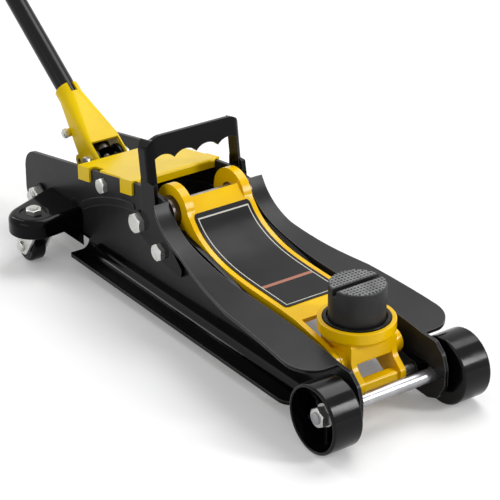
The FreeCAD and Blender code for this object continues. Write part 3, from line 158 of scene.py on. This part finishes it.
class Finish:
    # A principled material whose colour, gloss and relief vary over the surface.
    def __init__(self, name):
        self.material = bpy.data.materials.new(name)
        self.material.use_nodes = True
        self.tree = self.material.node_tree
        self.shader = self.tree.nodes["Principled BSDF"]
        self.place = self.node("ShaderNodeTexCoord").outputs["Object"]

    def node(self, kind, **values):
        made = self.tree.nodes.new(kind)
        for key, value in values.items():
            setattr(made, key, value)
        return made

    def link(self, source, target):
        self.tree.links.new(source, target)

    def math(self, operation, a, b, c=None):
        made = self.node("ShaderNodeMath", operation=operation)
        for socket, value in zip(made.inputs, (a, b, c)):
            if value is None:
                continue
            if isinstance(value, (int, float)):
                socket.default_value = value
            else:
                self.link(value, socket)
        return made.outputs[0]

    def noise(self, scale, detail, stretch=(1, 1, 1)):
        made = self.node("ShaderNodeTexNoise")
        made.inputs["Scale"].default_value = scale
        made.inputs["Detail"].default_value = detail
        mapping = self.node("ShaderNodeMapping")
        mapping.inputs["Scale"].default_value = stretch
        self.link(self.place, mapping.inputs["Vector"])
        self.link(mapping.outputs["Vector"], made.inputs["Vector"])
        return made.outputs["Fac"]

    def ramp(self, factor, low, high, start=0.3, end=0.7):
        made = self.node("ShaderNodeMapRange")
        self.link(factor, made.inputs["Value"])
        made.inputs["From Min"].default_value = start
        made.inputs["From Max"].default_value = end
        made.inputs["To Min"].default_value = low
        made.inputs["To Max"].default_value = high
        return made.outputs["Result"]

    def mix(self, factor, a, b):
        made = self.node("ShaderNodeMix", data_type="RGBA")
        self.link(factor, made.inputs["Factor"])
        colours = [s for s in made.inputs if s.type == "RGBA"]
        for socket, value in zip(colours, (a, b)):
            if isinstance(value, list):
                socket.default_value = value
            else:
                self.link(value, socket)
        return [s for s in made.outputs if s.type == "RGBA"][0]

    def bump(self, height, depth, strength=1.0):
        made = self.node("ShaderNodeBump")
        made.inputs["Strength"].default_value = strength
        made.inputs["Distance"].default_value = depth
        self.link(height, made.inputs["Height"])
        self.link(made.outputs["Normal"], self.shader.inputs["Normal"])

    def thread(self, along):
        # Bands across the axis named, one for each turn of a thread.
        made = self.node("ShaderNodeTexWave", bands_direction=along)
        made.inputs["Scale"].default_value = math.pi / (10 * THREAD_PITCH)
        self.link(self.place, made.inputs["Vector"])
        return made.outputs["Fac"]

    def edges(self, colour, light):
        # A thin lighter line along rounded edges: a painted highlight where they would catch the light.
        rounded = self.node("ShaderNodeBevel", samples=4)
        rounded.inputs["Radius"].default_value = EDGE_HIGHLIGHT_REACH
        flat = self.node("ShaderNodeNewGeometry")
        same = self.node("ShaderNodeVectorMath", operation="DOT_PRODUCT")
        self.link(rounded.outputs["Normal"], same.inputs[0])
        self.link(flat.outputs["Normal"], same.inputs[1])
        line = self.ramp(same.outputs["Value"], EDGE_HIGHLIGHT_AMOUNT, 0.0, *EDGE_HIGHLIGHT_TURN)
        return self.mix(line, colour, light)

    def finish(self, colour, rough, metal=0.0, specular=0.5):
        self.link(colour, self.shader.inputs["Base Color"])
        self.link(rough, self.shader.inputs["Roughness"])
        self.shader.inputs["Metallic"].default_value = metal
        self.shader.inputs["Specular IOR Level"].default_value = specular
        return self.material


def paint(name, dark, light, rough, peel, specular, edge_highlight=None):
    # Sprayed paint: faint cloudy colour, uneven gloss, orange peel and, where named, a painted highlight
    # along the edges.
    f = Finish(name)
    colour = f.mix(f.ramp(f.noise(18, 4), 0, 1), linear(dark), linear(light))
    if edge_highlight:
        colour = f.edges(colour, linear(edge_highlight))
    gloss = f.ramp(f.noise(45, 3), rough - 0.04, rough + 0.05)
    f.bump(f.noise(650, 2), peel, 0.5)
    return f.finish(colour, gloss, specular=specular)


def plate_paint():
    # The side plates: satin charcoal on web and flange, glossier along the rolled rail, where the deeper
    # black is a painted dark reflection; a painted highlight runs along the edges.
    f = Finish("plate_paint")
    split = f.node("ShaderNodeSeparateXYZ")
    f.link(f.place, split.inputs["Vector"])
    rise = f.math("MULTIPLY_ADD", split.outputs["X"], -RAIL_DARK_REFLECTION_RISE, split.outputs["Z"])
    web = f.ramp(rise, 0, 1, RAIL_DARK_REFLECTION_Z, RAIL_DARK_REFLECTION_Z + RAIL_DARK_REFLECTION_BLEND)
    upper = f.mix(f.ramp(f.noise(18, 4), 0, 1), linear("1A1A1B"), linear("232325"))
    rail_dark_reflection = f.mix(f.ramp(f.noise(30, 3), 0, 1), linear("060606"), linear("0B0B0C"))
    gloss = f.ramp(web, 0.12, 0.3, 0, 1)
    uneven = f.math("ADD", gloss, f.ramp(f.noise(45, 3), -0.02, 0.05))
    f.bump(f.noise(650, 2), 0.000004, 0.5)
    # The rail's near-black colours are a painted dark reflection, and 68686A is a painted highlight along the
    # edges.
    colour = f.edges(f.mix(web, rail_dark_reflection, upper), linear("68686A"))
    return f.finish(colour, uneven, specular=0.16)


def metal(name, dark, light, rough, stretch=(1, 1, 1), scale=900, depth=0.000002, metallic=1.0,
          thread=None):
    # Plated or turned metal: stains, fine tool lines, and relief from those lines or from a thread.
    f = Finish(name)
    lines = f.noise(scale, 3, stretch)
    stain = f.noise(60, 4)
    blend = f.math("MULTIPLY_ADD", lines, 0.4, f.math("MULTIPLY", stain, 0.6))
    colour = f.mix(f.ramp(blend, 0, 1, 0.35, 0.65), linear(dark), linear(light))
    if thread:
        f.bump(f.thread(thread), THREAD_DEPTH)
    else:
        f.bump(lines, depth, 0.6)
    return f.finish(colour, f.ramp(lines, rough - 0.05, rough + 0.07), metallic)


def rubber(name, dark, light, rough):
    # Rubber with a fine grain and a cloudy colour.
    f = Finish(name)
    grain = f.noise(900, 3)
    colour = f.mix(f.ramp(f.noise(70, 5), 0, 1), linear(dark), linear(light))
    f.bump(grain, 0.00003, 0.7)
    return f.finish(colour, f.ramp(grain, rough - 0.08, rough + 0.08), specular=0.35)


def printed_label():
    # Charcoal film with a thin pale border line and one coloured stripe, and nothing else.
    f = Finish("label_film")
    split = f.node("ShaderNodeSeparateXYZ")
    f.link(f.place, split.inputs["Vector"])
    x = split.outputs["X"]
    y = split.outputs["Y"]
    middle = (LABEL_X[0] + LABEL_X[1]) / 2
    half = (LABEL_X[1] - LABEL_X[0]) / 2

    def inside(margin):
        across = f.math("COMPARE", y, 0.0, LABEL_HALF - margin)
        return f.math("MULTIPLY", f.math("COMPARE", x, middle, half - margin), across)

    border = f.math("SUBTRACT", inside(LABEL_INSET), inside(LABEL_INSET + LABEL_LINE))
    band = f.math("COMPARE", x, STRIPE_X, STRIPE_HALF)
    stripe = f.math("MULTIPLY", band, inside(LABEL_INSET + LABEL_LINE))
    film = f.mix(f.ramp(f.noise(30, 4), 0, 1), linear("151516"), linear("1C1C1D"))
    lined = f.mix(border, film, linear("C9C7BE"))
    colour = f.mix(stripe, lined, linear("A8705E"))
    f.bump(f.noise(500, 2), 0.000004, 0.4)
    return f.finish(colour, f.ramp(f.noise(40, 3), 0.3, 0.4), specular=0.12)


MATERIALS = {
    # The last colour given to gloss_black is a painted highlight along its edges.
    "gloss_black": paint("gloss_black", "050506", "0A0A0B", 0.09, 0.000003, 0.1, "4C4C4E"),
    "yellow_paint": paint("gloss_yellow", "EAB600", "F3C400", 0.18, 0.000004, 0.2),
    "tube_black": paint("tube_black", "060607", "0C0C0D", 0.2, 0.000003, 0.2),
    # A lemon copy of the yellow paint for the cover and socket: painted light, standing in for the brighter
    # light on these top parts.
    "lit_lemon_paint": paint("lit_lemon_yellow", "E0BC00", "E9C700", 0.2, 0.000004, 0.12),
    "plate": plate_paint(),
    "zinc": metal("zinc_plate", "C4C4C0", "DEDEDA", 0.3, metallic=0.8),
    "thread_y": metal("thread_along_y", "BCBCB8", "DADAD6", 0.3, metallic=0.8, thread="Y"),
    "thread_z": metal("thread_along_z", "BCBCB8", "DADAD6", 0.3, metallic=0.8, thread="Z"),
    "steel": metal("turned_steel", "8A8A88", "B0B0AE", 0.3, (1, 12, 1)),
    "dark_steel": metal("blued_steel", "3A3634", "57504A", 0.24, (1, 12, 1)),
    "polished_steel": metal("polished_bar", "98989B", "AEAEB0", 0.3, (1, 1, 1), 40, 0.000001),
    "cast_black": paint("cast_black", "08080A", "111112", 0.3, 0.00002, 0.15),
    # The last colour given to wheel_black is a painted highlight along its edges.
    "wheel_black": paint("wheel_black", "050505", "0B0B0C", 0.15, 0.000003, 0.16, "4A4A4C"),
    "caster_black": paint("nylon_black", "070708", "0F0F10", 0.25, 0.00001, 0.15),
    "label": printed_label(),
    "pad_rubber": rubber("pad_rubber", "141415", "1F1F20", 0.5),
    # The tread's light grey is a painted highlight on the pad's ridges.
    "tread": rubber("tread_painted_highlight", "6A6A6B", "8A8A8B", 0.45),
    "grip_rubber": rubber("grip_rubber", "111112", "1A1A1B", 0.6),
    "bronze": metal("sintered_bronze", "8F6B3A", "B08A50", 0.4),
}
# Nodes whose finish isn't their slot's
FINISH = {
    "side_plate_left": "plate", "side_plate_right": "plate",
    # The cover and socket take the lemon copy of the yellow, which is painted light.
    "top_cover": "lit_lemon_paint", "handle_socket": "lit_lemon_paint",
    "carry_handle": "gloss_black", "arm_pivot_spacers": "dark_steel",
    "pump_roller": "dark_steel", "handle_plug": "dark_steel", "release_spindle": "dark_steel",
    "handle_lower_tube": "tube_black", "handle_upper_tube": "tube_black",
    "rear_tie_rod": "thread_y", "caster_studs": "thread_z"}


# Pieces

def place(name, mesh, node, smooth=True, finish=None):
    # A new piece with the finish of its CAD node, or the one named.
    piece = bpy.data.objects.new(name, mesh)
    bpy.context.scene.collection.objects.link(piece)
    for face in mesh.polygons:
        face.use_smooth = smooth
    mesh.materials.clear()
    mesh.materials.append(MATERIALS[finish or FINISH.get(node, SLOT[node])])
    return piece


def soften(node, width):
    # The node's own faces with rolled edges, which catch the light as pressed and cast edges do.
    mesh = NODES[node].data.copy()
    work = bmesh.new()
    work.from_mesh(mesh)
    bmesh.ops.remove_doubles(work, verts=work.verts, dist=WELD)
    bmesh.ops.dissolve_degenerate(work, edges=work.edges, dist=SLIVER)
    bmesh.ops.dissolve_limit(work, angle_limit=FLAT_ANGLE, verts=work.verts, edges=work.edges)
    work.to_mesh(mesh)
    work.free()
    if "custom_normal" in mesh.attributes:
        mesh.attributes.remove(mesh.attributes["custom_normal"])
    piece = place(node + "_finish", mesh, node)
    bevel = piece.modifiers.new("edges", "BEVEL")
    bevel.width = width
    bevel.segments = EDGE_SEGMENTS
    bevel.limit_method = "ANGLE"
    bevel.angle_limit = EDGE_ANGLE
    bevel.use_clamp_overlap = True
    shade = piece.modifiers.new("shade", "WEIGHTED_NORMAL")
    shade.weight = SHADE_WEIGHT
    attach(piece, BODY[node])
    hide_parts(node)


def coil(name, node, start, axis, side, radius, wire, turns, length):
    # A round-wire spring along axis from start, with closed ends.
    work = bmesh.new()
    up = axis.cross(side)
    steps = int(turns * STEPS_PER_TURN)
    rings = []
    for i in range(steps + 1):
        t = i / steps
        turn = t * turns * 2 * math.pi
        ease = min(1.0, max(0.0, (t - CLOSED_SHARE) / (1 - 2 * CLOSED_SHARE)))
        centre = start + axis * (wire + ease * (length - 2 * wire))
        out = side * math.cos(turn) + up * math.sin(turn)
        ring = []
        for k in range(WIRE_SIDES):
            a = 2 * math.pi * k / WIRE_SIDES
            spot = centre + out * (radius + wire * math.cos(a)) + axis * (wire * math.sin(a))
            ring.append(work.verts.new(spot))
        rings.append(ring)
    for a, b in zip(rings, rings[1:]):
        for k in range(WIRE_SIDES):
            n = (k + 1) % WIRE_SIDES
            work.faces.new((a[k], a[n], b[n], b[k]))
    work.faces.new(rings[0])
    work.faces.new(list(reversed(rings[-1])))
    bmesh.ops.recalc_face_normals(work, faces=work.faces)
    mesh = bpy.data.meshes.new(name)
    work.to_mesh(mesh)
    work.free()
    return place(name, mesh, node)


def springs():
    # The ram's two return springs and the plunger's spring, each as long as the CAD spring that it hides.
    low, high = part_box("return_springs")
    middle_z = (low.z + high.z) / 2
    reach = RETURN_COIL_R + RETURN_WIRE_R
    for side, y in (("left", high.y - reach), ("right", low.y + reach)):
        start = Vector((low.x, y, middle_z))
        piece = coil("return_spring_" + side, "return_springs", start, Vector((1, 0, 0)), Vector((0, 1, 0)),
                     RETURN_COIL_R, RETURN_WIRE_R, RETURN_TURNS, high.x - low.x)
        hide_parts("return_springs")
        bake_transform(piece)
    low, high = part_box("pump_spring")
    start = Vector(((low.x + high.x) / 2, 0, low.z))
    piece = coil("pump_spring_coil", "pump_spring", start, Vector((0, 0, 1)), Vector((1, 0, 0)),
                 PUMP_COIL_R, PUMP_WIRE_R, PUMP_TURNS, high.z - low.z)
    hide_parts("pump_spring")
    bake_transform(piece)


def ridge(work, start, end, height):
    # A low bar with sloping sides between two points of the pad's top.
    along = (end - start).normalized()
    side = Vector((-along.y, along.x, 0))
    base = []
    top = []
    for spot, way in ((start, 1), (end, -1)):
        for turn in (1, -1):
            foot = spot + side * TREAD_BASE * turn * way
            base.append(work.verts.new(foot - Vector((0, 0, TREAD_SINK))))
            crest = spot + side * TREAD_TOP * turn * way + along * (TREAD_BASE - TREAD_TOP) * way
            top.append(work.verts.new(crest + Vector((0, 0, height))))
    work.faces.new(top)
    work.faces.new(list(reversed(base)))
    for k in range(4):
        n = (k + 1) % 4
        work.faces.new((base[k], base[n], top[n], top[k]))


def pad_tread():
    # Crossed ridges on the pad's top, each side of the slot, in a light grey rubber that is a painted
    # highlight.
    work = bmesh.new()
    reach = PAD_R - TREAD_MARGIN
    shore = PAD_SLOT_HALF + TREAD_BASE
    lines = int(reach / TREAD_PITCH) + 1
    for i in range(-lines, lines + 1):
        for offset, crosses_slot in ((i * TREAD_PITCH, True), ((i + 0.5) * TREAD_PITCH, False)):
            if abs(offset) > reach - TREAD_BASE or (not crosses_slot and abs(offset) < shore):
                continue
            half = math.sqrt(reach * reach - offset * offset)
            if not crosses_slot:
                spot = Vector((PAD_X + offset, 0, PAD_TOP_Z))
                ridge(work, spot - Vector((0, half, 0)), spot + Vector((0, half, 0)), TREAD_H)
            elif half > shore + TREAD_PITCH / 2:
                for way in (1, -1):
                    spot = Vector((PAD_X, offset, PAD_TOP_Z))
                    ridge(work, spot + Vector((shore * way, 0, 0)), spot + Vector((half * way, 0, 0)),
                          CROSS_TREAD_H)
    bmesh.ops.recalc_face_normals(work, faces=work.faces)
    mesh = bpy.data.meshes.new("pad_tread")
    work.to_mesh(mesh)
    work.free()
    piece = place("pad_tread", mesh, "rubber_pad", smooth=False, finish="tread")
    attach(piece, BODY["rubber_pad"])


# How wide each node's edges are rolled, and the width for all the others
EDGE = {
    "lift_arm": 0.0016, "side_plate_left": 0.0011, "side_plate_right": 0.0011, "carry_handle": 0.0016,
    "top_cover": 0.0008, "saddle_bracket": 0.0012, "power_unit_block": 0.0012, "rubber_pad": 0.0007,
    "caster_bracket_left": 0.0009, "caster_bracket_right": 0.0009, "handle_socket": 0.0008,
    "front_wheel_left": 0.0008, "front_wheel_right": 0.0008, "arm_label": 0.0001}
SMALL_EDGE = 0.0003

for node in sorted(NODES):
    if node not in ("return_springs", "pump_spring"):
        soften(node, EDGE.get(node, SMALL_EDGE))
springs()
pad_tread()


# Studio

def camera():
    data = bpy.data.cameras.new("photo_camera")
    data.lens = LENS
    data.sensor_width = SENSOR
    data.clip_end = VIEW_END
    made = bpy.data.objects.new("photo_camera", data)
    bpy.context.scene.collection.objects.link(made)
    made.location = EYE
    made.rotation_euler = (TARGET - EYE).to_track_quat("-Z", "Y").to_euler()
    bpy.context.scene.camera = made


def lamp(name, spot, size, power):
    # A soft rectangle of light that faces the camera's target.
    data = bpy.data.lights.new(name, "AREA")
    data.shape = "RECTANGLE"
    data.size = size[0]
    data.size_y = size[1]
    data.energy = power
    made = bpy.data.objects.new(name, data)
    bpy.context.scene.collection.objects.link(made)
    made.location = spot
    made.rotation_euler = (TARGET - Vector(spot)).to_track_quat("-Z", "Y").to_euler()


def seen_directly(tree):
    # 1 for camera, mirror and glass rays, which see the white studio.
    path = tree.nodes.new("ShaderNodeLightPath")
    seen = path.outputs["Is Camera Ray"]
    for kind in ("Is Glossy Ray", "Is Transmission Ray"):
        larger = tree.nodes.new("ShaderNodeMath")
        larger.operation = "MAXIMUM"
        tree.links.new(seen, larger.inputs[0])
        tree.links.new(path.outputs[kind], larger.inputs[1])
        seen = larger.outputs[0]
    return seen


def world():
    # White to the camera and in reflections, and WORLD_LIGHT as strong in the light that it casts.
    made = bpy.data.worlds.new("studio")
    made.use_nodes = True
    bpy.context.scene.world = made
    tree = made.node_tree
    light = tree.nodes["Background"]
    seen = seen_directly(tree)
    level = tree.nodes.new("ShaderNodeMapRange")
    tree.links.new(seen, level.inputs["Value"])
    level.inputs["To Min"].default_value = WORLD_LIGHT
    level.inputs["To Max"].default_value = 1.0
    light.inputs["Color"].default_value = (1, 1, 1, 1)
    tree.links.new(level.outputs["Result"], light.inputs["Strength"])


def floor():
    # A pale floor that takes the shadow near the jack and turns white further away.
    mesh = bpy.data.meshes.new("floor")
    corners = [(x * FLOOR_REACH, y * FLOOR_REACH, FLOOR_Z) for x, y in ((-1, -1), (1, -1), (1, 1), (-1, 1))]
    mesh.from_pydata(corners, [], [(0, 1, 2, 3)])
    made = bpy.data.objects.new("floor", mesh)
    bpy.context.scene.collection.objects.link(made)
    material = bpy.data.materials.new("pale_floor")
    material.use_nodes = True
    tree = material.node_tree
    shader = tree.nodes["Principled BSDF"]
    shader.inputs["Base Color"].default_value = (FLOOR_GREY, FLOOR_GREY, FLOOR_GREY, 1)
    shader.inputs["Roughness"].default_value = 0.9
    shader.inputs["Specular IOR Level"].default_value = 0.0
    shader.inputs["Emission Color"].default_value = (1, 1, 1, 1)
    spot = tree.nodes.new("ShaderNodeTexCoord")
    away = tree.nodes.new("ShaderNodeVectorMath")
    away.operation = "LENGTH"
    tree.links.new(spot.outputs["Object"], away.inputs[0])
    glow = tree.nodes.new("ShaderNodeMapRange")
    glow.inputs["From Min"].default_value = GLOW_FROM
    glow.inputs["From Max"].default_value = GLOW_TO
    glow.inputs["To Min"].default_value = GLOW_NEAR
    glow.inputs["To Max"].default_value = GLOW_FAR
    tree.links.new(away.outputs["Value"], glow.inputs["Value"])
    level = tree.nodes.new("ShaderNodeMath")
    level.operation = "MULTIPLY"
    tree.links.new(glow.outputs["Result"], level.inputs[1])
    tree.links.new(seen_directly(tree), level.inputs[0])
    tree.links.new(level.outputs[0], shader.inputs["Emission Strength"])
    mesh.materials.append(material)


camera()
world()
floor()
for name, (spot, size, power) in LAMPS.items():
    lamp(name, spot, size, power)

bpy.context.scene.view_settings.view_transform = "Standard"
